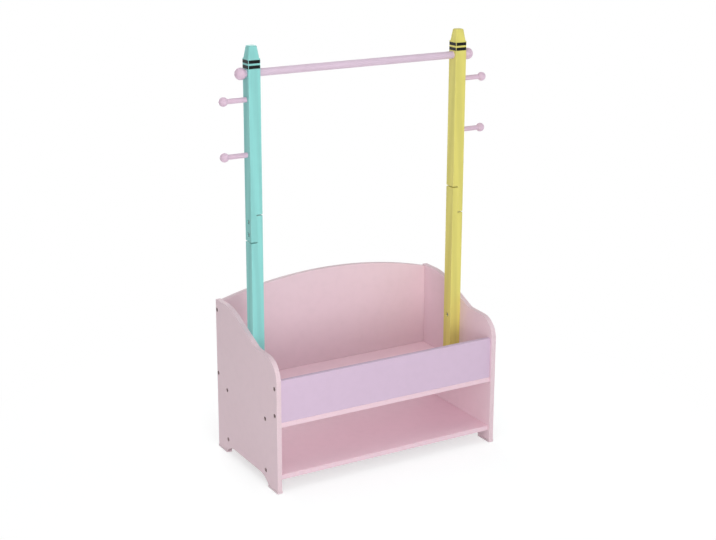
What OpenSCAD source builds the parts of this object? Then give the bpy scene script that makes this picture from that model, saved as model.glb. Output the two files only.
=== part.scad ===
// Child's dress up rail: an open box on a shoe bay, two crayon posts, a hanging rail and side pegs.
// X runs across the width, Y from front (-) to back (+), Z up; the origin is on the floor, in the middle.

/* [Overall] */
// Width over the two side panels
body_width = 610; // [500:5:760]
// Depth of the side panels, front edge to back edge
body_depth = 320; // [290:5:400]
// Thickness of every board
board_t = 12; // [11:0.5:16]

/* [Side panels] */
// Height of the back of the side panels above the box floor
side_back_height = 213.5; // [190:0.5:260]
// Height of the front shoulder of the side panels above the box floor
side_front_height = 150.5; // [135:0.5:170]
// Rise of the low top, from the shoulder to the foot of the slope
low_top_rise = 4; // [0:0.5:8]
// Length of the level top at the back
back_top_length = 80; // [50:1:100]
// Length of the low top at the front
low_top_length = 104; // [80:1:120]
// Radius over the head of the slope
slope_head_r = 155; // [60:5:170]
// Radius in the foot of the slope
slope_foot_r = 30; // [10:1:60]
// Radius of the front shoulder
shoulder_r = 52; // [20:1:54]
// Radius of the back top corner
back_corner_r = 3; // [1:0.5:12]
// Height of the arch between the feet
arch_height = 22.5; // [15:0.5:28]
// Radius at each end of the arch
arch_end_r = 60; // [30:1:75]
// Length of each foot on its glide
foot_length = 48; // [35:1:60]

/* [Shelves] */
// Height of the underside of the bottom shelf
bottom_shelf_height = 31.5; // [30:0.5:60]
// Clear height of the open bay between the shelves
bay_height = 118; // [90:1:180]
// Set-back of the shelves from the front edges of the side panels
shelf_setback = 6; // [2:0.5:12]

/* [Front and back panels] */
// Height of the front panel
front_panel_height = 103; // [85:1:115]
// Drop of the back panel's ends below the back of the side panels
back_end_drop = 3.5; // [0:0.5:10]
// Rise of the back panel's arch over its ends
back_arch_rise = 39.5; // [15:0.5:60]

/* [Posts] */
// Side of the square posts
post_size = 30; // [28:1:36]
// Distance of the posts in front of the middle of the side panels
post_forward = 4; // [0:1:20]
// Radius of the long edges of the posts
post_edge_r = 1; // [0.5:0.5:4]
// Length of each lower post, tongue included
lower_post_length = 459.5; // [380:0.5:560]
// Length of each upper post, tongue included, up to the shoulder of the tip
upper_post_length = 424; // [380:1:520]
// Length of the lap joint
lap_length = 62; // [50:1:90]
// Distance between the two bolts of a lap joint
lap_bolt_spacing = 30; // [20:1:36]
// Height of the bolt that ties a post to its side panel, above the box floor
tie_bolt_height = 125; // [60:1:150]

/* [Crayon tips] */
// Height of the tip above the shoulder
tip_height = 28.5; // [15:0.5:45]
// Side of the tip at its base
tip_base = 28.5; // [24:0.5:29.5]
// Side of the tip at its top
tip_top = 20.5; // [12:0.5:23]
// Radius of the tip's corners
tip_corner_r = 4; // [1:0.5:5]
// Height of the soft edge round the tip's top
tip_soft_edge = 1.5; // [0.5:0.5:3]
// Height of each black band
band_height = 7.5; // [4:0.5:12]
// Gap between the two bands
band_gap = 4.5; // [2:0.5:10]
// Distance of the upper band below the shoulder
band_drop = 3; // [1:0.5:10]
// Thickness of the bands
band_t = 0.3; // [0.2:0.1:0.6]

/* [Rail] */
// Diameter of the hanging rail
rail_d = 18; // [15:0.5:20]
// Gap between the bands and the top of the rail
rail_gap = 2; // [1:0.5:20]
// Diameter of the balls on the rail
rail_ball_d = 28; // [26:0.5:36]
// Bare rail between a post and the mouth of its ball
rail_neck = 2.3; // [1:0.1:4]
// Length of rail beyond the outer face of each post
rail_overhang = 7; // [5:0.5:8]

/* [Pegs] */
// Diameter of the pegs
peg_d = 12; // [8:0.5:14]
// Diameter of the balls on the pegs
peg_ball_d = 21.5; // [18:0.5:30]
// Distance from a post to the centre of a peg's ball
peg_reach = 56.5; // [35:0.5:80]
// Depth of the peg sockets in the posts
peg_socket = 15; // [10:0.5:20]
// Distance of the upper pegs below the shoulder
upper_peg_drop = 93; // [80:1:120]
// Distance between the upper and the lower pegs
peg_spacing = 127; // [60:1:160]

/* [Mirror] */
// Width of the mirror sheet
mirror_width = 170; // [120:1:180]
// Height of the mirror sheet
mirror_height = 240; // [150:1:250]
// Thickness of the mirror sheet
mirror_t = 3; // [2:0.5:5]
// Height of the mirror's lower edge above the underside of the bottom shelf
mirror_lift = 30; // [20:1:40]
// Radius of the mirror's corners
mirror_corner_r = 15; // [5:1:40]
// Side of the square adhesive pads behind the mirror
pad_size = 25; // [15:1:40]
// Thickness of the adhesive pads
pad_t = 1; // [0.5:0.25:2]
// Distance of the pads from the mirror's edges
pad_inset = 14; // [8:1:25]

/* [Bolts and nuts] */
// Thread diameter of every bolt
bolt_d = 6; // [5:0.5:6]
// Diameter of the socket heads
bolt_head_d = 9; // [8:0.5:10]
// Height of the socket heads
bolt_head_h = 6; // [4:0.5:7]
// Width across flats of the hexagon sockets
hex_socket = 5; // [4:0.5:6]
// Depth of the hexagon sockets
hex_depth = 3; // [1:0.5:3.5]
// Depth of the socket heads below the surface
head_sink = 2.5; // [0:0.1:3]
// Length of the panel bolts under the head
panel_bolt_length = 40; // [38:1:50]
// Distance of a shelf's bolts from its front and back edges
shelf_bolt_inset = 55; // [35:1:70]
// Distance of the front panel's bolts from its upper and lower edges
front_bolt_inset = 18.5; // [12:0.5:30]
// Distance of the back panel's bolts from its lower edge and from its end's top
back_bolt_inset = 23; // [14:0.5:40]
// Diameter of the barrel nuts
barrel_d = 10; // [9:0.5:12]
// Distance of the barrel nuts from the end of their board
barrel_setback = 25; // [20:0.5:30]
// Wood left over a barrel nut's blind bore
barrel_skin = 1; // [0.5:0.25:2]
// Width of the screwdriver slot in a barrel nut
slot_width = 1.2; // [0.8:0.1:2]
// Diameter of the threaded inserts
insert_d = 9; // [8:0.5:11]
// Length of the threaded inserts in the lap joints
lap_insert_length = 10; // [8:0.5:11]
// Length of the threaded inserts in the post ends
post_insert_length = 15; // [10:0.5:25]
// Wood left behind a threaded insert in a side panel
insert_skin = 2; // [1:0.5:3]
// Diameter of the button heads under the middle shelf
button_head_d = 11; // [9:0.5:14]
// Height of the button heads under the middle shelf
button_head_h = 3.3; // [2:0.1:5]
// Length of thread in a post end beyond its insert
foot_bolt_extra = 6; // [2:0.5:12]
// Length of each rail stud in the rail and, past the rail's end, in its ball
stud_hold = 10; // [6:0.5:12]

/* [Dowels and glides] */
// Diameter of the locating dowels
dowel_d = 6; // [5:0.5:7]
// Depth of the locating dowels in the side panels
dowel_in_side = 7; // [5:0.5:8]
// Depth of the locating dowels in the shelves and panels
dowel_in_board = 15; // [10:0.5:25]
// Distance between the two dowels of a shelf's end
shelf_dowel_spacing = 90; // [75:1:110]
// Thickness of the foot glides
glide_t = 5; // [2:0.5:8]
// Overhang of the glides round the foot
glide_overhang = 1.5; // [0:0.25:3]
// Radius of the glides' corners in plan
glide_corner_r = 3; // [1:0.5:5]
// Diameter of the glide nails
nail_d = 2; // [1.5:0.25:3]
// Diameter of the nail heads
nail_head_d = 5; // [4:0.25:7]
// Height of the nail heads
nail_head_h = 1; // [0.5:0.25:1.5]
// Length of the nails in the side panel
nail_hold = 18; // [10:1:25]
// Distance between the two nails of a glide
nail_spacing = 24; // [14:1:30]

/* [Fits] */
// Clearance round a bolt in wood
bolt_gap = 0.25; // [0.1:0.05:0.5]
// Clearance round a bolt's head in its recess in a side panel
head_gap = 0.75; // [0.25:0.25:0.75]
// Clearance round a bolt's head in its recess in a post
post_head_gap = 1.5; // [0.5:0.25:2]
// Gap at each end of a lap joint
lap_end_gap = 2.6; // [0.2:0.1:3]
// Clearance round a thread, an insert, a nut or a dowel
fit_gap = 0.05; // [0.02:0.01:0.1]
// Clearance round the rail and the pegs in their posts and balls
rail_fit_gap = 0.15; // [0.05:0.05:0.3]
// Depth left beyond the end of a bolt, a dowel or a peg
end_gap = 1; // [0.5:0.25:2]

/* [Hidden] */
$fn = 96;
// Facets of the large arcs, of the back panel's crown and of the tips' corners
arc_fn = 256;
crown_fn = 720;
tip_fn = 24;
// Sides of the sockets in the bolt heads
hex_sides = 6;

// Colours
pink = [0.93, 0.80, 0.84];
lilac = [0.83, 0.74, 0.85];
turquoise = [0.56, 0.83, 0.81];
yellow = [0.86, 0.84, 0.40];
rail_pink = [0.88, 0.77, 0.85];
band_black = [0.06, 0.07, 0.08];
steel = [0.72, 0.72, 0.74];
beech = [0.86, 0.74, 0.56];
silver = [0.88, 0.90, 0.92];
foam = [0.95, 0.95, 0.93];

// Overlap of a cutting tool beyond the face that it cuts
cut = 0.5;
// Thickness of the slices that a tip is stretched over
slice = 0.01;
// Overlap of the round part of a corner beyond the chord of its arc
arc_overlap = 2;

// Places along X
inner_x = body_width / 2 - board_t;
outer_x = body_width / 2;
post_x = inner_x - post_size / 2;

// Places along Y
back_y = body_depth / 2;
front_y = -back_y;
shelf_front_y = front_y + shelf_setback;
shelf_depth = back_y - shelf_front_y;
shelf_mid_y = (shelf_front_y + back_y) / 2;
front_panel_y = shelf_front_y + board_t / 2;
back_panel_y = back_y - board_t / 2;
post_y = -post_forward;

// Places along Z
bottom_shelf_z = bottom_shelf_height + board_t / 2;
middle_shelf_z = bottom_shelf_height + board_t + bay_height + board_t / 2;
box_floor_z = middle_shelf_z + board_t / 2;
side_back_z = box_floor_z + side_back_height;
side_front_z = box_floor_z + side_front_height;
back_end_z = side_back_z - back_end_drop;
back_crown_z = back_end_z + back_arch_rise;
lap_low_z = box_floor_z + lower_post_length - lap_length;
lap_high_z = lap_low_z + lap_length;
lap_mid_z = (lap_low_z + lap_high_z) / 2;
shoulder_z = lap_low_z + upper_post_length;
band_tops = [for (i = [0, 1]) shoulder_z - band_drop - i * (band_height + band_gap)];
rail_z = band_tops[1] - band_height - rail_gap - rail_d / 2;
peg_zs = [shoulder_z - upper_peg_drop, shoulder_z - upper_peg_drop - peg_spacing];
mirror_z = bottom_shelf_height + mirror_lift + mirror_height / 2;

// Bolt sites on a side panel, as [Y, Z]
shelf_bolt_ys = [shelf_front_y + shelf_bolt_inset, back_y - shelf_bolt_inset];
front_bolt_zs = [box_floor_z + front_bolt_inset, box_floor_z + front_panel_height - front_bolt_inset];
back_bolt_zs = [box_floor_z + back_bolt_inset, back_end_z - back_bolt_inset];
shelf_sites = [for (z = [bottom_shelf_z, middle_shelf_z], y = shelf_bolt_ys) [y, z]];
front_sites = [for (z = front_bolt_zs) [front_panel_y, z]];
back_sites = [for (z = back_bolt_zs) [back_panel_y, z]];
bolt_sites = concat(shelf_sites, front_sites, back_sites);

// Dowel sites on a side panel, as [Y, Z]
shelf_dowel_ys = [for (s = [-1, 1]) shelf_mid_y + s * shelf_dowel_spacing / 2];
front_dowel_z = (front_bolt_zs[0] + front_bolt_zs[1]) / 2;
back_dowel_z = (back_bolt_zs[0] + back_bolt_zs[1]) / 2;
shelf_dowel_sites = [for (z = [bottom_shelf_z, middle_shelf_z], y = shelf_dowel_ys) [y, z]];
panel_dowel_sites = [[front_panel_y, front_dowel_z], [back_panel_y, back_dowel_z]];
dowel_sites = concat(shelf_dowel_sites, panel_dowel_sites);

// Bolts, nuts and inserts
hex_corners_d = hex_socket / cos(180 / hex_sides);
button_hex_depth = button_head_h / 2;
head_recess = bolt_head_h + head_sink;
panel_bolt_reach = panel_bolt_length - (board_t - head_recess);
barrel_x = inner_x - barrel_setback;
barrel_length = board_t - 2 * barrel_skin;
slot_depth = barrel_skin;
lap_bolt_zs = [for (s = [-1, 1]) lap_mid_z + s * lap_bolt_spacing / 2];
lap_bolt_length = post_size / 2 - head_recess + lap_insert_length;
tie_z = box_floor_z + tie_bolt_height;
tie_insert_length = board_t - insert_skin;
tie_bolt_length = post_size - head_recess + tie_insert_length;
foot_bolt_length = board_t + post_insert_length + foot_bolt_extra;

// Rail and balls
rail_end_x = inner_x + rail_overhang;
ball_mouth = sqrt(pow(rail_ball_d / 2, 2) - pow(rail_d / 2 + rail_fit_gap, 2));
ball_x = inner_x + rail_neck + ball_mouth;

// Feet
glide_length = foot_length + 2 * glide_overhang;
glide_width = board_t + 2 * glide_overhang;
glide_x = outer_x - board_t / 2;
glide_y = back_y - foot_length / 2;
// Underside of the nail heads, which lie sunk in the glides
nail_head_z = nail_head_h / 2;
arch_end_rise = arch_end_r - arch_height + glide_t;
arch_end_y = back_y - foot_length - sqrt(pow(arch_end_r, 2) - pow(arch_end_rise, 2));
arch_end_z = arch_height - arch_end_r;

// Outline of a side panel, seen along X, as [Y, Z, corner radius]
side_corners = [
    [back_y, glide_t, 0],
    [back_y, side_back_z, back_corner_r],
    [back_y - back_top_length, side_back_z, slope_head_r],
    [front_y + low_top_length, side_front_z + low_top_rise, slope_foot_r],
    [front_y, side_front_z, shoulder_r],
    [front_y, glide_t, 0]
];

// Circle through the two ends and the crown of the back panel's arch
back_arch_r = (pow(inner_x, 2) + pow(back_arch_rise, 2)) / (2 * back_arch_rise);

function unit(v) = v / norm(v);

function point(corner) = [corner[0], corner[1]];

// Half the angle between the two edges that meet at p
function half_angle(a, p, b) = acos(unit(a - p) * unit(b - p)) / 2;

// Corner radius, limited by half the shorter edge beside it
function fitted_r(r, a, p, b) = min(r, min(norm(a - p), norm(b - p)) / 2 * tan(half_angle(a, p, b)));

// Sets its children on the left: everything with two sides is drawn on the right
module on_left() {
    mirror([1, 0, 0]) children();
}

module on_both_sides() {
    children();
    on_left() children();
}

// Turns a flat outline of [Y, Z] points into a plate that starts at x and grows along +X
module plate(x, thickness) {
    translate([x, 0, 0])
        rotate([90, 0, 90])
            linear_extrude(thickness)
                children();
}

// Cylinder along X, from x1 to x2
module rod_x(x1, x2, y, z, d) {
    translate([x1, y, z])
        rotate([0, 90, 0])
            cylinder(h = x2 - x1, d = d);
}

// Cylinder along Y, from y1 to y2
module rod_y(y1, y2, x, z, d) {
    translate([x, y2, z])
        rotate([90, 0, 0])
            cylinder(h = y2 - y1, d = d);
}

// Cylinder along Z, from z1 to z2
module rod_z(z1, z2, x, y, d) {
    translate([x, y, z1])
        cylinder(h = z2 - z1, d = d);
}

// Box given by its lowest and highest corners
module block(low, high) {
    translate(low)
        cube(high - low);
}

// Rectangle with round corners, centred on the origin
module rounded_rect(w, h, r) {
    square([w - 2 * r, h], center = true);
    square([w, h - 2 * r], center = true);
    for (x = [-1, 1], y = [-1, 1])
        translate([x * (w / 2 - r), y * (h / 2 - r)])
            circle(r);
}

// The round part of one corner: the circle, cut to the corner point and to just past the chord of its arc
module corner_arc(a, p, b, r) {
    half = half_angle(a, p, b);
    t = r / tan(half);
    ends = [p + unit(a - p) * t, p + unit(b - p) * t];
    inward = unit(unit(a - p) + unit(b - p));
    intersection() {
        polygon([ends[0], p, ends[1], (ends[0] + ends[1]) / 2 + inward * arc_overlap]);
        translate(p + inward * r / sin(half))
            circle(r, $fn = arc_fn);
    }
}

// Closed outline, counter-clockwise, with a true arc of its own radius at each corner
module rounded_outline(corners) {
    n = len(corners);
    points = [for (c = corners) point(c)];
    before = [for (i = [0:n - 1]) points[(i + n - 1) % n]];
    after = [for (i = [0:n - 1]) points[(i + 1) % n]];
    radii = [for (i = [0:n - 1]) fitted_r(corners[i][2], before[i], points[i], after[i])];
    inward = [for (i = [0:n - 1]) cross(points[i] - before[i], after[i] - points[i]) < 0];
    chords = [for (i = [0:n - 1])
        let (p = points[i], t = radii[i] / tan(half_angle(before[i], p, after[i])))
        each radii[i] > 0 ? [p + unit(before[i] - p) * t, p + unit(after[i] - p) * t] : [p]];
    difference() {
        polygon(chords);
        for (i = [0:n - 1])
            if (radii[i] > 0 && inward[i])
                corner_arc(before[i], points[i], after[i], radii[i]);
    }
    for (i = [0:n - 1])
        if (radii[i] > 0 && !inward[i])
            corner_arc(before[i], points[i], after[i], radii[i]);
}

// Side panel outline with its arched foot
module side_outline() {
    difference() {
        rounded_outline(side_corners);
        translate([-arch_end_y, 0])
            square([2 * arch_end_y, arch_height]);
        for (s = [-1, 1])
            translate([s * arch_end_y, arch_end_z])
                circle(arch_end_r, $fn = arc_fn);
    }
}

// Bores of one bolt site through a side panel
module side_bolt_bore(y, z) {
    rod_x(inner_x - cut, outer_x + cut, y, z, bolt_d + 2 * bolt_gap);
    rod_x(outer_x - head_recess, outer_x + cut, y, z, bolt_head_d + 2 * head_gap);
}

module nail_sites() {
    for (sy = [-1, 1], sn = [-1, 1])
        translate([glide_x, sy * glide_y + sn * nail_spacing / 2, 0])
            children();
}

module side_panel() {
    difference() {
        plate(inner_x, board_t)
            side_outline();
        for (site = bolt_sites)
            side_bolt_bore(site[0], site[1]);
        for (site = dowel_sites)
            rod_x(inner_x - cut, inner_x + dowel_in_side + end_gap, site[0], site[1], dowel_d + 2 * fit_gap);
        rod_x(inner_x - cut, inner_x + tie_insert_length, post_y, tie_z, insert_d + 2 * fit_gap);
        nail_sites()
            cylinder(h = glide_t + nail_hold + end_gap, d = nail_d + 2 * fit_gap);
    }
}

// Bores in the end of a board for the bolt at [y, z]
module board_bolt_bore(y, z) {
    rod_x(inner_x - panel_bolt_reach - end_gap, inner_x + cut, y, z, bolt_d + 2 * bolt_gap);
}

// Bores in the end of a board for the dowel at [y, z]
module board_dowel_bore(y, z) {
    rod_x(inner_x - dowel_in_board - end_gap, inner_x + cut, y, z, dowel_d + 2 * fit_gap);
}

// A shelf whose middle plane is at z, with the blind bores of its barrel nuts from below
module shelf(z) {
    difference() {
        block([-inner_x, shelf_front_y, z - board_t / 2], [inner_x, back_y, z + board_t / 2]);
        on_both_sides() {
            for (y = shelf_bolt_ys) {
                board_bolt_bore(y, z);
                rod_z(z - board_t / 2 - cut, z + board_t / 2 - barrel_skin, barrel_x, y, barrel_d + 2 * fit_gap);
            }
            for (y = shelf_dowel_ys)
                board_dowel_bore(y, z);
        }
    }
}

module bottom_shelf() {
    color(pink)
        shelf(bottom_shelf_z);
}

module middle_shelf() {
    color(pink)
        difference() {
            shelf(middle_shelf_z);
            on_both_sides()
                rod_z(box_floor_z - board_t - cut, box_floor_z + cut, post_x, post_y, bolt_d + 2 * bolt_gap);
        }
}

// The nuts of the front panel go in from its back, inside the box
module front_panel() {
    color(lilac)
        difference() {
            block(
                [-inner_x, shelf_front_y, box_floor_z],
                [inner_x, shelf_front_y + board_t, box_floor_z + front_panel_height]
            );
            on_both_sides() {
                for (z = front_bolt_zs) {
                    board_bolt_bore(front_panel_y, z);
                    rod_y(
                        shelf_front_y + barrel_skin, shelf_front_y + board_t + cut,
                        barrel_x, z, barrel_d + 2 * fit_gap
                    );
                }
                board_dowel_bore(front_panel_y, front_dowel_z);
            }
        }
}

// The nuts of the back panel go in from its outer face
module back_panel() {
    color(pink)
        difference() {
            intersection() {
                block([-inner_x, back_y - board_t, box_floor_z], [inner_x, back_y, back_crown_z + cut]);
                rod_y(
                    back_y - board_t - cut, back_y + cut,
                    0, back_crown_z - back_arch_r, 2 * back_arch_r, $fn = crown_fn
                );
            }
            on_both_sides() {
                for (z = back_bolt_zs) {
                    board_bolt_bore(back_panel_y, z);
                    rod_y(
                        back_y - board_t + barrel_skin, back_y + cut,
                        barrel_x, z, barrel_d + 2 * fit_gap
                    );
                }
                board_dowel_bore(back_panel_y, back_dowel_z);
            }
        }
}

// Square post with round long edges, from z1 to z2
module post_bar(z1, z2) {
    translate([post_x, post_y, z1])
        linear_extrude(z2 - z1)
            rounded_rect(post_size, post_size, post_edge_r);
}

// Half of the post's thickness: side 1 is the outer half, side -1 the inner one
module post_half(side, z1, z2) {
    x1 = side > 0 ? post_x : post_x - post_size;
    block([x1, post_y - post_size, z1], [x1 + post_size, post_y + post_size, z2]);
}

module lower_post() {
    difference() {
        post_bar(box_floor_z, lap_high_z);
        post_half(1, lap_low_z - lap_end_gap, lap_high_z + cut);
        for (z = lap_bolt_zs)
            rod_x(post_x - lap_insert_length - end_gap, post_x + cut, post_y, z, insert_d + 2 * fit_gap);
        rod_z(
            box_floor_z - cut, box_floor_z + post_insert_length,
            post_x, post_y, insert_d + 2 * fit_gap
        );
        rod_z(
            box_floor_z, box_floor_z + post_insert_length + foot_bolt_extra + end_gap,
            post_x, post_y, bolt_d + 2 * bolt_gap
        );
        rod_x(post_x - post_size, post_x + post_size, post_y, tie_z, bolt_d + 2 * bolt_gap);
        rod_x(
            post_x - post_size, post_x - post_size / 2 + head_recess,
            post_y, tie_z, bolt_head_d + 2 * post_head_gap
        );
    }
}

// Blunt, four-sided crayon tip on the shoulder of a post
module tip() {
    sizes = [tip_base, tip_top, tip_top - 2 * tip_soft_edge];
    heights = [0, tip_height - tip_soft_edge, tip_height - slice];
    radii = [tip_corner_r, tip_corner_r, tip_corner_r - tip_soft_edge / 2];
    translate([post_x, post_y, shoulder_z])
        hull()
            for (i = [0:len(sizes) - 1])
                translate([0, 0, heights[i]])
                    linear_extrude(slice)
                        rounded_rect(sizes[i], sizes[i], radii[i], $fn = tip_fn);
}

module upper_post() {
    difference() {
        union() {
            post_bar(lap_low_z, shoulder_z);
            tip();
        }
        post_half(-1, lap_low_z - cut, lap_high_z + lap_end_gap);
        for (z = lap_bolt_zs) {
            rod_x(post_x - cut, post_x + post_size, post_y, z, bolt_d + 2 * bolt_gap);
            rod_x(inner_x - head_recess, inner_x + cut, post_y, z, bolt_head_d + 2 * post_head_gap);
        }
        rod_x(post_x - post_size, post_x + post_size, post_y, rail_z, rail_d + 2 * rail_fit_gap);
        for (z = peg_zs)
            rod_x(inner_x - peg_socket - end_gap, inner_x + cut, post_y, z, peg_d + 2 * rail_fit_gap);
    }
}

// Two black bands round a post under its tip: a strip on the flat of each face, so the long edges stay bare
module crayon_bands() {
    strip_width = post_size - 2 * post_edge_r;
    color(band_black)
        for (top = band_tops, turn = [0:90:270])
            translate([post_x, post_y, top - band_height])
                rotate(turn)
                    translate([post_size / 2, -strip_width / 2, 0])
                        cube([band_t, strip_width, band_height]);
}

module hanging_rail() {
    color(rail_pink)
        difference() {
            rod_x(-rail_end_x, rail_end_x, post_y, rail_z, rail_d);
            on_both_sides()
                rod_x(rail_end_x - stud_hold - end_gap, rail_end_x + cut, post_y, rail_z, bolt_d + 2 * fit_gap);
        }
}

// Ball with a socket for the rail's end and a deeper bore for the stud, turned about the rail's axis
module rail_ball() {
    color(rail_pink)
        translate([0, post_y, rail_z])
            rotate([0, 90, 0])
                rotate_extrude()
                    difference() {
                        translate([0, ball_x])
                            circle(d = rail_ball_d);
                        translate([-rail_ball_d, 0])
                            square([rail_ball_d, 2 * ball_x]);
                        square([rail_d / 2 + rail_fit_gap, rail_end_x]);
                        square([bolt_d / 2 + fit_gap, rail_end_x + stud_hold + end_gap]);
                    }
}

module rail_studs() {
    color(steel)
        on_both_sides()
            rod_x(rail_end_x - stud_hold, rail_end_x + stud_hold, post_y, rail_z, bolt_d);
}

// One turned peg: a stem that runs into its socket, and a ball
module peg(z) {
    color(rail_pink) {
        rod_x(inner_x - peg_socket, inner_x + peg_reach, post_y, z, peg_d);
        translate([inner_x + peg_reach, post_y, z])
            sphere(d = peg_ball_d);
    }
}

module mirror_sheet() {
    color(silver)
        plate(outer_x + pad_t, mirror_t)
            translate([shelf_mid_y, mirror_z])
                rounded_rect(mirror_width, mirror_height, mirror_corner_r);
}

module mirror_pads() {
    pad_y = mirror_width / 2 - pad_inset - pad_size / 2;
    pad_z = mirror_height / 2 - pad_inset - pad_size / 2;
    color(foam)
        plate(outer_x, pad_t)
            for (sy = [-1, 1], sz = [-1, 1])
                translate([shelf_mid_y + sy * pad_y, mirror_z + sz * pad_z])
                    square(pad_size, center = true);
}

// Socket head bolt: its head's underside is at the origin and its thread runs along +X
module socket_bolt(length) {
    difference() {
        union() {
            rod_x(-bolt_head_h, 0, 0, 0, bolt_head_d);
            rod_x(-cut, length, 0, 0, bolt_d);
        }
        translate([-bolt_head_h - cut, 0, 0])
            rotate([0, 90, 0])
                cylinder(h = hex_depth + cut, d = hex_corners_d, $fn = hex_sides);
    }
}

module panel_bolts() {
    color(steel)
        for (site = bolt_sites)
            translate([outer_x - head_recess, site[0], site[1]])
                mirror([1, 0, 0])
                    socket_bolt(panel_bolt_length);
}

// Barrel nut along +Z with a cross bore along X, and a slot in the end that shows, centred on the origin
module barrel_nut() {
    difference() {
        cylinder(h = barrel_length, d = barrel_d, center = true);
        rod_x(-barrel_d, barrel_d, 0, 0, bolt_d + 2 * fit_gap);
        translate([0, 0, -barrel_length / 2])
            cube([barrel_d + cut, slot_width, 2 * slot_depth], center = true);
    }
}

module barrel_nuts() {
    color(steel) {
        for (site = shelf_sites)
            translate([barrel_x, site[0], site[1]])
                barrel_nut();
        for (site = concat(front_sites, back_sites))
            translate([barrel_x, site[0], site[1]])
                rotate([90, 0, 0])
                    barrel_nut();
    }
}

module dowels() {
    color(beech)
        for (site = dowel_sites)
            rod_x(inner_x - dowel_in_board, inner_x + dowel_in_side, site[0], site[1], dowel_d);
}

module lap_bolts() {
    color(steel)
        on_both_sides()
            for (z = lap_bolt_zs)
                translate([inner_x - head_recess, post_y, z])
                    mirror([1, 0, 0])
                        socket_bolt(lap_bolt_length);
}

// Threaded insert along +X from the origin
module insert(length) {
    difference() {
        rod_x(0, length, 0, 0, insert_d);
        rod_x(-cut, length + cut, 0, 0, bolt_d + 2 * fit_gap);
    }
}

module lap_inserts() {
    color(steel)
        on_both_sides()
            for (z = lap_bolt_zs)
                translate([post_x - lap_insert_length, post_y, z])
                    insert(lap_insert_length);
}

// Button head bolts up through the middle shelf into the posts
module foot_bolts() {
    shelf_under_z = box_floor_z - board_t;
    color(steel)
        on_both_sides()
            difference() {
                union() {
                    rod_z(shelf_under_z - button_head_h, shelf_under_z, post_x, post_y, button_head_d);
                    rod_z(shelf_under_z - cut, shelf_under_z + foot_bolt_length, post_x, post_y, bolt_d);
                }
                translate([post_x, post_y, shelf_under_z - button_head_h - cut])
                    cylinder(h = button_hex_depth + cut, d = hex_corners_d, $fn = hex_sides);
            }
}

module foot_inserts() {
    color(steel)
        on_both_sides()
            translate([post_x, post_y, box_floor_z])
                rotate([0, -90, 0])
                    insert(post_insert_length);
}

// Bolts from the inner face of each post into its side panel
module tie_bolts() {
    color(steel)
        on_both_sides()
            translate([post_x - post_size / 2 + head_recess, post_y, tie_z])
                socket_bolt(tie_bolt_length);
}

module tie_inserts() {
    color(steel)
        on_both_sides()
            translate([inner_x, post_y, tie_z])
                insert(tie_insert_length);
}

module foot_glides() {
    color(pink)
        on_both_sides()
            difference() {
                for (s = [-1, 1])
                    translate([glide_x, s * glide_y, 0])
                        linear_extrude(glide_t)
                            rounded_rect(glide_width, glide_length, glide_corner_r);
                nail_sites() {
                    translate([0, 0, -cut])
                        cylinder(h = glide_t + 2 * cut, d = nail_d + 2 * fit_gap);
                    translate([0, 0, -cut])
                        cylinder(h = nail_head_z + nail_head_h + cut, d = nail_head_d + 2 * fit_gap);
                }
            }
}

module glide_nails() {
    color(steel)
        on_both_sides()
            nail_sites() {
                translate([0, 0, nail_head_z])
                    cylinder(h = nail_head_h, d = nail_head_d);
                translate([0, 0, nail_head_z])
                    cylinder(h = glide_t - nail_head_z + nail_hold, d = nail_d);
            }
}

on_left() color(pink) side_panel();  // left_side_panel
color(pink) side_panel();  // right_side_panel
back_panel();
middle_shelf();
bottom_shelf();
front_panel();
on_left() color(turquoise) lower_post();  // left_lower_post
on_left() color(turquoise) upper_post();  // left_upper_post
color(yellow) lower_post();  // right_lower_post
color(yellow) upper_post();  // right_upper_post
on_left() crayon_bands();  // left_crayon_bands
crayon_bands();  // right_crayon_bands
hanging_rail();
on_left() rail_ball();  // left_rail_ball
rail_ball();  // right_rail_ball
rail_studs();
on_left() peg(peg_zs[0]);  // left_upper_peg
on_left() peg(peg_zs[1]);  // left_lower_peg
peg(peg_zs[0]);  // right_upper_peg
peg(peg_zs[1]);  // right_lower_peg
mirror_sheet();
mirror_pads();
on_left() panel_bolts();  // left_panel_bolts
panel_bolts();  // right_panel_bolts
on_left() barrel_nuts();  // left_barrel_nuts
barrel_nuts();  // right_barrel_nuts
on_left() dowels();  // left_dowels
dowels();  // right_dowels
lap_bolts();
lap_inserts();
foot_bolts();
foot_inserts();
tie_bolts();
tie_inserts();
foot_glides();
glide_nails();
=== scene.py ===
"""Looks of a child's dress up storage unit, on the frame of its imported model.

Everything is in metres, with X to the right, Y to the back and Z up. The boards, posts, rail, pegs and
fittings are the model's own solids: they get softened edges and painted, plastic, mirror and metal
finishes here.
"""
import math

import bpy
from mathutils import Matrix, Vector

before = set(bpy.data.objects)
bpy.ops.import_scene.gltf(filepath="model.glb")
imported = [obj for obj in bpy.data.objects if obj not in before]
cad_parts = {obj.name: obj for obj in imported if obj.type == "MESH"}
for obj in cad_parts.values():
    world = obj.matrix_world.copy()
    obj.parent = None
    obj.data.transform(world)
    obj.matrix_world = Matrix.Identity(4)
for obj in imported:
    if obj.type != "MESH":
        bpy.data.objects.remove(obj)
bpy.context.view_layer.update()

MM = 0.001

# The photograph's viewpoint: in front, to the left and a little above the unit
CAMERA_PLACE = (-1.700, -2.895, 1.490)
CAMERA_TURN = math.radians(29.69)
CAMERA_PITCH = math.radians(15.98)
# The camera's own sizes are in millimetres, and its shifts in widths of the picture
LENS_LENGTH = 72.7
SENSOR_WIDTH = 36
LENS_SHIFT_X = 0.026
LENS_SHIFT_Y = -0.04

# How strongly the white surroundings light the unit
WORLD_LIGHT = 0.44
# Where the softboxes point
MIDDLE = Vector((0, 0, 0.5))
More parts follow.
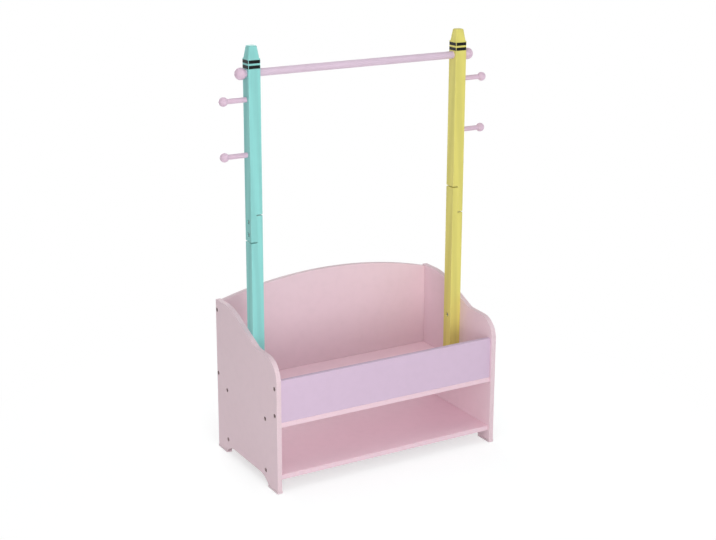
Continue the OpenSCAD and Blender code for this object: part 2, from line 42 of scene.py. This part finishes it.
# Each softbox's place, the length of its sides and its power in watts
SOFTBOXES = {
    "key": ((-1.0, -2.2, 1.7), 1.4, 10),
    "top": ((-0.5, -0.4, 2.7), 1.4, 10),
    "low_key": ((-0.6, -2.4, 0.45), 0.9, 17),
    "left": ((-1.8, -1.5, 0.5), 1.0, 4),
    "back": ((0.2, 2.4, 0.8), 1.6, 24),
    "side": ((2.2, -0.6, 0.9), 1.2, 8),
}

# The floor reaches this far each way
FLOOR_REACH = 40
# The share of each colour that the floor throws back on the unit
FLOOR_BOUNCE = (0.8, 0.8, 0.8, 1)
# The share that it shows, and the glow that makes up the rest of its white
FLOOR_SHOWN = (0.55, 0.577, 0.57, 1)
FLOOR_GLOW = 0.57
# Distances from the origin at which the floor starts to fade to plain white, and has faded
FADE_START = 0.5
FADE_END = 1.0

# Points nearer to each other than this become one
WELD_REACH = 0.01 * MM
# Faces that turn by less than this become one flat face
FLAT_TURN = math.radians(0.5)
# Edges that turn by less than this lie on a smooth surface
SHARPEST_SMOOTH = math.radians(33)
# Rims shorter than this, in the boards, posts and glides, are those of bores and stay sharp
BORE_RIM = 70 * MM
# Rows of faces across a rounded edge
EDGE_ROWS = 3

# Colours as the eye sees them, 0 to 255
PINK = (239, 214, 222)
# The shelves' pink is lighter and pinker than the other boards': painted light for the shoe bay
LIT_SHELF_PINK = (245, 215, 226)
LILAC = (212, 189, 212)
TURQUOISE = (145, 215, 211)
YELLOW = (228, 219, 120)
RAIL_PINK = (220, 198, 216)
# Pink of the balls and pegs: their paint, darkened as painted shade for the balls on the right
SHADED_TURNED_PINK = (220, 192, 211)
UNDERCOAT = (250, 246, 244)
# Bare fibreboard of the bores, darker than bare board as painted shade for their depth
RAW_BOARD_AND_SHADE = (132, 98, 82)
BAND_BLACK = (9, 12, 13)
BAND_SCUFF = (64, 70, 72)
GLIDE_PINK = (226, 206, 212)
FOAM_WHITE = (240, 240, 236)
MIRROR_SILVER = (208, 214, 218)
MIRROR_EDGE = (176, 198, 198)
ZINC = (196, 198, 204)
ZINC_WARM = (200, 198, 192)
STEEL = (104, 102, 104)
STEEL_DULL = (78, 74, 74)
BEECH = (214, 180, 136)
BEECH_FLECK = (180, 138, 96)

AXES = {"x": (1, 0, 0), "y": (0, 1, 0), "z": (0, 0, 1)}


def linear(colour):
    """An 8-bit colour as the linear RGBA that the shader takes."""
    def channel(value):
        value /= 255
        return value / 12.92 if value <= 0.04045 else ((value + 0.055) / 1.055) ** 2.4
    return (*(channel(value) for value in colour), 1)


def shade(colour, factor):
    """The 8-bit colour made darker or lighter, channel by channel."""
    return tuple(min(255, value * factor) for value in colour)


def socket_name(keyword):
    """The shader socket that a keyword stands for, such as "Coat Weight" for coat_weight."""
    return keyword.replace("_", " ").title().replace("Ior", "IOR")


def add_node(tree, kind, inputs=None, **settings):
    """A new node in a tree. An input is a number, a colour or another node's output."""
    node = tree.nodes.new(kind)
    for key, value in settings.items():
        setattr(node, key, value)
    for key, value in (inputs or {}).items():
        if isinstance(value, bpy.types.NodeSocket):
            tree.links.new(value, node.inputs[key])
        else:
            node.inputs[key].default_value = value
    return node


class Finish:
    """A material while it is made: its nodes, its shader and the steps that the finishes share."""

    def __init__(self, name, **constants):
        self.material = bpy.data.materials.new(name)
        self.material.use_nodes = True
        self.tree = self.material.node_tree
        self.shader = self.tree.nodes["Principled BSDF"]
        for keyword, value in constants.items():
            self.shader.inputs[socket_name(keyword)].default_value = value
        self.place = self.add("ShaderNodeTexCoord").outputs["Object"]
        self.normal = None

    def add(self, kind, inputs=None, **settings):
        return add_node(self.tree, kind, inputs, **settings)

    def stretched(self, stretch):
        """The place on the piece, for patterns that are drawn out where stretch is below 1."""
        return self.add("ShaderNodeMapping", {"Vector": self.place, "Scale": stretch}).outputs[0]

    def noise(self, scale, detail=2, stretch=(1, 1, 1), distortion=0):
        """Noise with features of about 1 / scale metres."""
        place = self.stretched(stretch)
        inputs = {"Vector": place, "Scale": scale, "Detail": detail, "Distortion": distortion}
        return self.add("ShaderNodeTexNoise", inputs).outputs["Fac"]

    def bands(self, direction, scale, distortion, detail=2, stretch=(1, 1, 1)):
        """Bands across an axis, or across a diagonal, bent by noise."""
        place = self.stretched(stretch)
        inputs = {"Vector": place, "Scale": scale, "Distortion": distortion, "Detail": detail}
        return self.add("ShaderNodeTexWave", inputs, bands_direction=direction.upper()).outputs["Fac"]

    def cells(self, scale):
        """Cells of about 1 / scale metres: 0 in their middles, more towards their borders."""
        inputs = {"Vector": self.place, "Scale": scale}
        return self.add("ShaderNodeTexVoronoi", inputs).outputs["Distance"]

    def math(self, operation, a, b=0.0):
        return self.add("ShaderNodeMath", {0: a, 1: b}, operation=operation).outputs[0]

    def plus(self, a, b):
        return self.math("ADD", a, b)

    def minus(self, a, b):
        return self.math("SUBTRACT", a, b)

    def times(self, a, b):
        return self.math("MULTIPLY", a, b)

    def spread(self, value, low, high, start=0.0, end=1.0):
        """Maps start to low and end to high, and stops there."""
        inputs = {"Value": value, "From Min": start, "From Max": end, "To Min": low, "To Max": high}
        return self.add("ShaderNodeMapRange", inputs).outputs["Result"]

    def blend(self, factor, colour_a, colour_b):
        """Colour a where the factor is 0, colour b where it is 1."""
        inputs = {0: factor, 6: self.as_input(colour_a), 7: self.as_input(colour_b)}
        return self.add("ShaderNodeMix", inputs, data_type="RGBA").outputs[2]

    def as_input(self, colour):
        return colour if isinstance(colour, bpy.types.NodeSocket) else linear(colour)

    def vary(self, colour, pattern, start, end):
        """The colour times start where the pattern is 0, and times end where it is 1."""
        return self.blend(pattern, shade(colour, start), shade(colour, end))

    def bump(self, height, depth):
        """Raises the surface by the height, 0 to 1, times the depth in metres."""
        inputs = {"Height": height, "Distance": depth}
        if self.normal:
            inputs["Normal"] = self.normal
        self.normal = self.add("ShaderNodeBump", inputs).outputs["Normal"]

    def agreement(self, direction_a, direction_b):
        """1 where two directions are the same, and 0 where they are square to each other."""
        inputs = {0: direction_a, 1: direction_b}
        return self.add("ShaderNodeVectorMath", inputs, operation="DOT_PRODUCT").outputs["Value"]

    def across(self, axis):
        """1 on faces that lie along the axis, as a board's narrow edges do, and 0 on faces square to it."""
        true_normal = self.add("ShaderNodeNewGeometry").outputs["True Normal"]
        squareness = self.math("ABSOLUTE", self.agreement(true_normal, AXES[axis]))
        return self.spread(squareness, 1, 0, start=0.5, end=0.9)

    def rubbed(self, radius):
        """1 on edges and corners that stick out, broken up as wear is, and 0 on flats."""
        rounded = self.add("ShaderNodeBevel", {"Radius": radius}, samples=4).outputs["Normal"]
        normal = self.add("ShaderNodeNewGeometry").outputs["Normal"]
        corner = self.spread(self.agreement(rounded, normal), 1, 0, start=0.7, end=0.98)
        return self.times(corner, self.spread(self.noise(70, detail=4), 0, 1, start=0.42, end=0.6))

    def occluded_hollows(self, distance):
        """1 in the piece's own bores and recesses, where its walls face each other, and 0 in the open: the
        mask of the painted shade in hollows.
        """
        inputs = {"Distance": distance}
        occlusion = self.add("ShaderNodeAmbientOcclusion", inputs, samples=4, only_local=True)
        return self.spread(occlusion.outputs["AO"], 1, 0, start=0.6, end=0.85)

    def done(self, colour, roughness):
        """Links what varies over the surface, and returns the material."""
        self.tree.links.new(colour, self.shader.inputs["Base Color"])
        self.tree.links.new(roughness, self.shader.inputs["Roughness"])
        if self.normal:
            self.tree.links.new(self.normal, self.shader.inputs["Normal"])
        return self.material


def painted_board(name, colour, thickness_axis, edge_shade_factor=1.0):
    """Satin paint, rolled on fibreboard: stippled faces, and cut edges that drink the paint.

    An edge shade factor below 1 darkens the cut edges further: painted shade, set board by board.
    """
    finish = Finish(name, specular_ior_level=0.25, coat_weight=0.03, coat_roughness=0.3)
    edges = finish.across(thickness_axis)
    worn = finish.rubbed(1.6 * MM)
    tone = finish.vary(colour, finish.noise(2.6, detail=3), 0.985, 1.012)
    mottling = finish.spread(finish.noise(46, detail=6), 0, 0.35, start=0.45, end=0.75)
    mottled = finish.blend(mottling, tone, shade(colour, 0.965))
    fibres = finish.noise(520, detail=6, distortion=0.6)
    soaked = finish.spread(fibres, 0, 1, start=0.35, end=0.65)
    edge_tone = finish.vary(colour, soaked, 0.945 * edge_shade_factor, 0.998 * edge_shade_factor)
    edged = finish.blend(finish.times(edges, 0.8), mottled, edge_tone)
    scuffed = finish.blend(finish.times(worn, 0.55), edged, UNDERCOAT)
    # Bores and recesses turn to bare board by occlusion: bare board in the cut, and painted shade that
    # deepens with the hollow
    coloured = finish.blend(finish.occluded_hollows(9 * MM), scuffed, RAW_BOARD_AND_SHADE)
    wiped = finish.spread(finish.noise(9, detail=4, stretch=(1, 0.4, 1)), 0.4, 0.52, start=0.3, end=0.7)
    dulled = finish.plus(wiped, finish.times(edges, 0.12))
    roughness = finish.minus(dulled, finish.times(worn, 0.1))
    finish.bump(finish.noise(520), 0.07 * MM)
    finish.bump(finish.times(fibres, edges), 0.12 * MM)
    finish.bump(finish.noise(16), 0.06 * MM)
    return finish.done(coloured, roughness)


def painted_bar(name, colour):
    """Satin paint on a planed softwood bar, with the grain showing through it along Z."""
    finish = Finish(name, specular_ior_level=0.22, coat_weight=0.03, coat_roughness=0.3)
    worn = finish.rubbed(1.8 * MM)
    rings = finish.bands("diagonal", 24, distortion=5, detail=3, stretch=(1, 1, 0.05))
    fibres = finish.noise(300, detail=6, stretch=(1, 1, 0.03))
    grain = finish.plus(finish.times(rings, 0.45), finish.times(fibres, 0.55))
    tone = finish.vary(colour, finish.noise(6, detail=3, stretch=(1, 1, 0.3)), 0.975, 1.015)
    streaks = finish.spread(grain, 0, 0.6, start=0.32, end=0.7)
    streaked = finish.blend(streaks, tone, shade(colour, 0.925))
    coloured = finish.blend(finish.times(worn, 0.3), streaked, UNDERCOAT)
    dulled = finish.spread(grain, 0.36, 0.5, start=0.3, end=0.7)
    roughness = finish.minus(dulled, finish.times(worn, 0.08))
    finish.bump(grain, 0.16 * MM)
    finish.bump(finish.noise(620), 0.05 * MM)
    return finish.done(coloured, roughness)


def painted_turning(name, colour, ring_depth):
    """Satin paint on turned hardwood that lies along X, with the lathe's rings round it."""
    finish = Finish(name, specular_ior_level=0.45, coat_weight=0.12, coat_roughness=0.25)
    worn = finish.rubbed(1.2 * MM)
    grain = finish.noise(360, detail=5, stretch=(0.04, 1, 1))
    rings = finish.bands("x", 130, distortion=0.8)
    tone = finish.vary(colour, finish.noise(14, detail=3, stretch=(0.3, 1, 1)), 0.975, 1.015)
    streaks = finish.spread(grain, 0, 0.5, start=0.42, end=0.75)
    streaked = finish.blend(streaks, tone, shade(colour, 0.94))
    coloured = finish.blend(finish.times(worn, 0.35), streaked, UNDERCOAT)
    roughness = finish.spread(grain, 0.32, 0.46, start=0.3, end=0.7)
    finish.bump(grain, 0.05 * MM)
    finish.bump(rings, ring_depth)
    return finish.done(coloured, roughness)


def vinyl():
    """Thin black vinyl, with fine scuffs round the post."""
    finish = Finish("band_vinyl", specular_ior_level=0.16)
    scuffs = finish.spread(finish.noise(420, detail=4, stretch=(0.15, 0.15, 1)), 0, 1, start=0.6, end=0.72)
    tone = finish.vary(BAND_BLACK, finish.noise(60, detail=3), 1, 1.35)
    coloured = finish.blend(finish.times(scuffs, 0.3), tone, BAND_SCUFF)
    roughness = finish.spread(scuffs, 0.42, 0.66)
    finish.bump(finish.noise(900, detail=3), 0.02 * MM)
    return finish.done(coloured, roughness)


def moulded_plastic():
    """Matt polyethylene, fine-grained from its mould and scuffed a little."""
    finish = Finish("glide_plastic", specular_ior_level=0.45)
    scuffs = finish.spread(finish.noise(160, detail=5, stretch=(1, 0.3, 1)), 0, 1, start=0.55, end=0.75)
    tone = finish.vary(GLIDE_PINK, finish.noise(40, detail=3), 0.96, 1.02)
    coloured = finish.blend(finish.times(scuffs, 0.4), tone, shade(GLIDE_PINK, 0.8))
    roughness = finish.spread(scuffs, 0.45, 0.68)
    finish.bump(finish.cells(1500), 0.04 * MM)
    return finish.done(coloured, roughness)


def foam():
    """White closed-cell foam."""
    finish = Finish("pad_foam", specular_ior_level=0.2, sheen_weight=0.15)
    pores = finish.cells(1800)
    coloured = finish.vary(FOAM_WHITE, pores, 0.88, 1)
    roughness = finish.spread(pores, 0.8, 0.98)
    finish.bump(pores, 0.2 * MM)
    return finish.done(coloured, roughness)


def mirror():
    """Acrylic mirror: a faintly wavy silver face with wiped smears, and a pale green-grey sawn edge."""
    finish = Finish("mirror_sheet", specular_ior_level=0.5)
    edges = finish.across("x")
    wiped = finish.noise(9, detail=5, stretch=(1, 1, 0.5), distortion=0.8)
    smears = finish.spread(wiped, 0, 1, start=0.5, end=0.8)
    silver = finish.vary(MIRROR_SILVER, smears, 1, 0.985)
    sawn = finish.vary(MIRROR_EDGE, finish.noise(500, detail=3, stretch=(1, 1, 0.1)), 0.9, 1.08)
    coloured = finish.blend(edges, silver, sawn)
    roughness = finish.plus(finish.spread(smears, 0.01, 0.05), finish.times(edges, 0.3))
    finish.tree.links.new(finish.spread(edges, 1, 0), finish.shader.inputs["Metallic"])
    finish.bump(finish.noise(5, detail=1), 0.05 * MM)
    return finish.done(coloured, roughness)


def zinc_plate():
    """Zinc-plated steel with a faint spangle of warm and cool patches."""
    finish = Finish("zinc_plate", metallic=1)
    patches = finish.spread(finish.cells(420), 0, 1, start=0.1, end=0.7)
    coloured = finish.blend(patches, ZINC, ZINC_WARM)
    roughness = finish.spread(finish.noise(380, detail=4), 0.26, 0.42, start=0.3, end=0.7)
    finish.bump(finish.noise(1200, detail=3), 0.02 * MM)
    return finish.done(coloured, roughness)


def plain_steel():
    """Dark steel of the panel bolts, darker than the zinc of the other bolts, and dull in patches."""
    finish = Finish("plain_steel", metallic=1)
    dull = finish.spread(finish.noise(260, detail=4), 0, 1, start=0.4, end=0.66)
    coloured = finish.blend(dull, STEEL, STEEL_DULL)
    roughness = finish.spread(dull, 0.3, 0.55)
    finish.bump(finish.noise(1200, detail=3), 0.02 * MM)
    return finish.done(coloured, roughness)


def beech():
    """Bare beech, with short brown flecks along the dowels."""
    finish = Finish("bare_beech", specular_ior_level=0.3)
    flecks = finish.spread(finish.noise(900, detail=4, stretch=(0.12, 1, 1)), 0, 1, start=0.52, end=0.66)
    tone = finish.vary(BEECH, finish.noise(120, detail=3, stretch=(0.1, 1, 1)), 0.94, 1.04)
    coloured = finish.blend(finish.times(flecks, 0.6), tone, BEECH_FLECK)
    roughness = finish.spread(flecks, 0.55, 0.7)
    finish.bump(flecks, 0.08 * MM)
    return finish.done(coloured, roughness)


class EdgeMarks:
    """Node group that smooths a solid's curved faces and marks the sharp edges for rounding.

    Sharp edges that hang together form one rim or one outline. The outward edges of those longer than the
    group's second input are marked with a bevel weight. Inward edges, and the shorter rims of bores, stay
    sharp.
    """

    def __init__(self):
        self.group = bpy.data.node_groups.new("edge_marks", "GeometryNodeTree")
        sockets = self.group.interface
        sockets.new_socket("Geometry", in_out="INPUT", socket_type="NodeSocketGeometry")
        length_socket = sockets.new_socket("Shortest", in_out="INPUT", socket_type="NodeSocketFloat")
        self.shortest = length_socket.identifier
        sockets.new_socket("Geometry", in_out="OUTPUT", socket_type="NodeSocketGeometry")
        start = self.add("NodeGroupInput")
        end = self.add("NodeGroupOutput")
        solid = start.outputs["Geometry"]
        sharp = self.steeper("Unsigned Angle")
        long = self.compare("GREATER_THAN", self.outline_length(solid, sharp), start.outputs["Shortest"])
        marked = self.combine("AND", self.steeper("Signed Angle"), long)
        kept = self.combine("NIMPLY", sharp, marked)
        clean = self.add("GeometryNodeRemoveAttribute", {0: solid, "Name": "custom_normal"}).outputs[0]
        smooth = self.add("GeometryNodeSetShadeSmooth", {"Geometry": clean}).outputs[0]
        creased_inputs = {"Geometry": smooth, "Selection": kept, "Shade Smooth": False}
        creased = self.on_edges("GeometryNodeSetShadeSmooth", creased_inputs)
        weight_inputs = {"Geometry": creased, "Name": "bevel_weight_edge", "Value": marked}
        weighted = self.on_edges("GeometryNodeStoreNamedAttribute", weight_inputs, data_type="FLOAT")
        self.group.links.new(weighted, end.inputs[0])

    def add(self, kind, inputs=None, **settings):
        return add_node(self.group, kind, inputs, **settings)

    def on_edges(self, kind, inputs, output=0, **settings):
        """The output of a new node that works edge by edge."""
        return self.add(kind, inputs, domain="EDGE", **settings).outputs[output]

    def compare(self, operation, a, b):
        inputs = {0: a, 1: b}
        return self.add("FunctionNodeCompare", inputs, data_type="FLOAT", operation=operation).outputs[0]

    def combine(self, operation, a, b):
        return self.add("FunctionNodeBooleanMath", {0: a, 1: b}, operation=operation).outputs[0]

    def steeper(self, angle):
        """The edges that turn by more than a smooth surface does.

        Inward edges have a negative signed angle, so they are only found by the unsigned one.
        """
        turn = self.add("GeometryNodeInputMeshEdgeAngle").outputs[angle]
        return self.compare("GREATER_THAN", turn, SHARPEST_SMOOTH)

    def outline_length(self, geometry, sharp):
        """The length of the connected sharp edges that an edge is one of."""
        smooth = self.add("FunctionNodeBooleanMath", {0: sharp}, operation="NOT").outputs[0]
        outlines = self.on_edges("GeometryNodeDeleteGeometry", {0: geometry, 1: smooth})
        ends = self.add("GeometryNodeInputMeshEdgeVertices")
        span_inputs = {0: ends.outputs["Position 1"], 1: ends.outputs["Position 2"]}
        span = self.add("ShaderNodeVectorMath", span_inputs, operation="DISTANCE").outputs["Value"]
        island = self.add("GeometryNodeInputMeshIsland").outputs["Island Index"]
        total = self.on_edges("GeometryNodeAccumulateField", {0: span, "Group ID": island}, "Total")
        nearest = self.on_edges("GeometryNodeSampleNearest", {0: outlines})
        sample_inputs = {0: outlines, "Value": total, "Index": nearest}
        return self.on_edges("GeometryNodeSampleIndex", sample_inputs)


def soften(node, marks, width, shortest):
    """Rounds a node's sharp edges, as sanding and paint do, without touching its mesh."""
    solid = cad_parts[node]
    weld = solid.modifiers.new("weld", "WELD")
    weld.merge_threshold = WELD_REACH
    flats = solid.modifiers.new("flats", "DECIMATE")
    flats.decimate_type = "DISSOLVE"
    flats.angle_limit = FLAT_TURN
    marking = solid.modifiers.new("marking", "NODES")
    marking.node_group = marks.group
    marking[marks.shortest] = shortest
    bevel = solid.modifiers.new("edges", "BEVEL")
    bevel.width = width
    bevel.segments = EDGE_ROWS
    bevel.limit_method = "WEIGHT"
    bevel.use_clamp_overlap = False
    bevel.loop_slide = False
    normals = solid.modifiers.new("normals", "WEIGHTED_NORMAL")
    normals.keep_sharp = True


def dress(nodes, material, marks, width, shortest=0.0):
    """Gives nodes a finish, and softens by that width the edges of outlines longer than the shortest."""
    for node in nodes:
        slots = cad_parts[node].data.materials
        for i in range(len(slots)):
            slots[i] = material
        soften(node, marks, width, shortest)


def dress_boards(marks):
    sides = ["left_side_panel", "right_side_panel"]
    shelves = ["bottom_shelf", "middle_shelf"]
    # The side, shelf and back boards darken their cut edges by their own factors, as painted shade
    side_paint = painted_board("pink_side", PINK, "x", edge_shade_factor=0.96)
    shelf_paint = painted_board("pink_shelf", LIT_SHELF_PINK, "z", edge_shade_factor=0.975)
    back_paint = painted_board("pink_back", PINK, "y", edge_shade_factor=0.92)
    front_paint = painted_board("lilac_front", LILAC, "y")
    dress(sides, side_paint, marks, width=0.6 * MM, shortest=BORE_RIM)
    dress(shelves, shelf_paint, marks, width=1.0 * MM, shortest=BORE_RIM)
    dress(["back_panel"], back_paint, marks, width=1.0 * MM, shortest=BORE_RIM)
    dress(["front_panel"], front_paint, marks, width=1.0 * MM, shortest=BORE_RIM)


def dress_posts(marks):
    left_posts = ["left_lower_post", "left_upper_post"]
    right_posts = ["right_lower_post", "right_upper_post"]
    bands = ["left_crayon_bands", "right_crayon_bands"]
    dress(left_posts, painted_bar("turquoise_bar", TURQUOISE), marks, width=0.6 * MM, shortest=BORE_RIM)
    dress(right_posts, painted_bar("yellow_bar", YELLOW), marks, width=0.6 * MM, shortest=BORE_RIM)
    dress(bands, vinyl(), marks, width=0.08 * MM)


def dress_turnings(marks):
    balls = ["left_rail_ball", "right_rail_ball"]
    pegs = ["left_upper_peg", "left_lower_peg", "right_upper_peg", "right_lower_peg"]
    rail_paint = painted_turning("rail_paint", RAIL_PINK, ring_depth=0.01 * MM)
    # The balls and pegs take a darker pink than the rail, partly as painted shade
    turned_paint = painted_turning("turned_paint", SHADED_TURNED_PINK, ring_depth=0.03 * MM)
    dress(["hanging_rail"], rail_paint, marks, width=0.6 * MM)
    dress(balls + pegs, turned_paint, marks, width=0.8 * MM)


def dress_fittings(marks):
    panel_bolts = ["left_panel_bolts", "right_panel_bolts"]
    post_bolts = ["lap_bolts", "foot_bolts", "tie_bolts"]
    nuts = ["left_barrel_nuts", "right_barrel_nuts"]
    inserts = ["lap_inserts", "foot_inserts", "tie_inserts"]
    zinc = zinc_plate()
    dress(panel_bolts, plain_steel(), marks, width=0.25 * MM)
    dress(post_bolts, zinc, marks, width=0.25 * MM)
    dress(nuts + inserts + ["rail_studs", "glide_nails"], zinc, marks, width=0.15 * MM)
    dress(["left_dowels", "right_dowels"], beech(), marks, width=0.5 * MM)
    dress(["foot_glides"], moulded_plastic(), marks, width=1.2 * MM, shortest=BORE_RIM)
    dress(["mirror_sheet"], mirror(), marks, width=0.4 * MM)
    dress(["mirror_pads"], foam(), marks, width=0.2 * MM)


def make_camera():
    data = bpy.data.cameras.new("camera")
    data.sensor_width = SENSOR_WIDTH
    data.lens = LENS_LENGTH
    data.shift_x = LENS_SHIFT_X
    data.shift_y = LENS_SHIFT_Y
    camera = bpy.data.objects.new("camera", data)
    camera.location = CAMERA_PLACE
    camera.rotation_euler = (math.radians(90) - CAMERA_PITCH, 0, -CAMERA_TURN)
    bpy.context.scene.collection.objects.link(camera)
    bpy.context.scene.camera = camera


def seen_rays(tree):
    """1 for rays that show a surface, in the picture or in a reflection, and 0 for rays that only light."""
    path = add_node(tree, "ShaderNodeLightPath").outputs
    mirrored = {0: path["Is Glossy Ray"], 1: path["Is Transmission Ray"]}
    either = add_node(tree, "ShaderNodeMath", mirrored, operation="MAXIMUM").outputs[0]
    seen = {0: path["Is Camera Ray"], 1: either}
    return add_node(tree, "ShaderNodeMath", seen, operation="MAXIMUM").outputs[0]


def mix_shaders(tree, factor, shader_a, shader_b):
    """Shader a where the factor is 0, shader b where it is 1."""
    return add_node(tree, "ShaderNodeMixShader", {0: factor, 1: shader_a, 2: shader_b}).outputs[0]


def make_world():
    """Plain white surroundings, seen at full white and lighting at their own strength."""
    world = bpy.data.worlds.new("surroundings")
    bpy.context.scene.world = world
    world.use_nodes = True
    tree = world.node_tree
    background = tree.nodes["Background"]
    background.inputs["Color"].default_value = (1, 1, 1, 1)
    level_inputs = {"Value": seen_rays(tree), "To Min": WORLD_LIGHT, "To Max": 1}
    level = add_node(tree, "ShaderNodeMapRange", level_inputs)
    tree.links.new(level.outputs["Result"], background.inputs["Strength"])


def floor_material():
    """Pale floor: it lights the unit as a pale floor does, and shows white but for a faint shadow.

    From below it is clear, so the unit's underside can be looked at.
    """
    material = bpy.data.materials.new("floor")
    material.use_nodes = True
    tree = material.node_tree
    tree.nodes.remove(tree.nodes["Principled BSDF"])
    bounce = add_node(tree, "ShaderNodeBsdfDiffuse", {"Color": FLOOR_BOUNCE}).outputs[0]
    lit = add_node(tree, "ShaderNodeBsdfDiffuse", {"Color": FLOOR_SHOWN}).outputs[0]
    glow = add_node(tree, "ShaderNodeEmission", {"Strength": FLOOR_GLOW}).outputs[0]
    near = add_node(tree, "ShaderNodeAddShader", {0: lit, 1: glow}).outputs[0]
    white = add_node(tree, "ShaderNodeEmission").outputs[0]
    position = add_node(tree, "ShaderNodeNewGeometry").outputs["Position"]
    distance = add_node(tree, "ShaderNodeVectorMath", {0: position}, operation="LENGTH").outputs["Value"]
    fade_inputs = {"Value": distance, "From Min": FADE_START, "From Max": FADE_END}
    fade = add_node(tree, "ShaderNodeMapRange", fade_inputs, interpolation_type="SMOOTHSTEP")
    shown = mix_shaders(tree, fade.outputs["Result"], near, white)
    top = mix_shaders(tree, seen_rays(tree), bounce, shown)
    from_below = add_node(tree, "ShaderNodeNewGeometry").outputs["Backfacing"]
    clear = add_node(tree, "ShaderNodeBsdfTransparent").outputs[0]
    surface = mix_shaders(tree, from_below, top, clear)
    tree.links.new(surface, tree.nodes["Material Output"].inputs["Surface"])
    return material


def make_floor():
    mesh = bpy.data.meshes.new("floor")
    quarters = [(-1, -1), (1, -1), (1, 1), (-1, 1)]
    corners = [(x * FLOOR_REACH, y * FLOOR_REACH, 0) for x, y in quarters]
    mesh.from_pydata(corners, [], [(0, 1, 2, 3)])
    mesh.materials.append(floor_material())
    floor = bpy.data.objects.new("floor", mesh)
    bpy.context.scene.collection.objects.link(floor)


def make_softbox(name, place, side, power):
    """A square softbox that faces the unit. The camera sees only what it lights, and its gleam."""
    data = bpy.data.lights.new(name, "AREA")
    data.size = side
    data.energy = power
    light = bpy.data.objects.new(name, data)
    light.location = place
    light.rotation_euler = (Vector(place) - MIDDLE).to_track_quat("Z", "Y").to_euler()
    light.visible_camera = False
    bpy.context.scene.collection.objects.link(light)


bpy.context.scene.view_settings.view_transform = "Standard"
make_camera()
make_world()
make_floor()
for name, (place, side, power) in SOFTBOXES.items():
    make_softbox(name, place, side, power)
edge_marks = EdgeMarks()
dress_boards(edge_marks)
dress_posts(edge_marks)
dress_turnings(edge_marks)
dress_fittings(edge_marks)
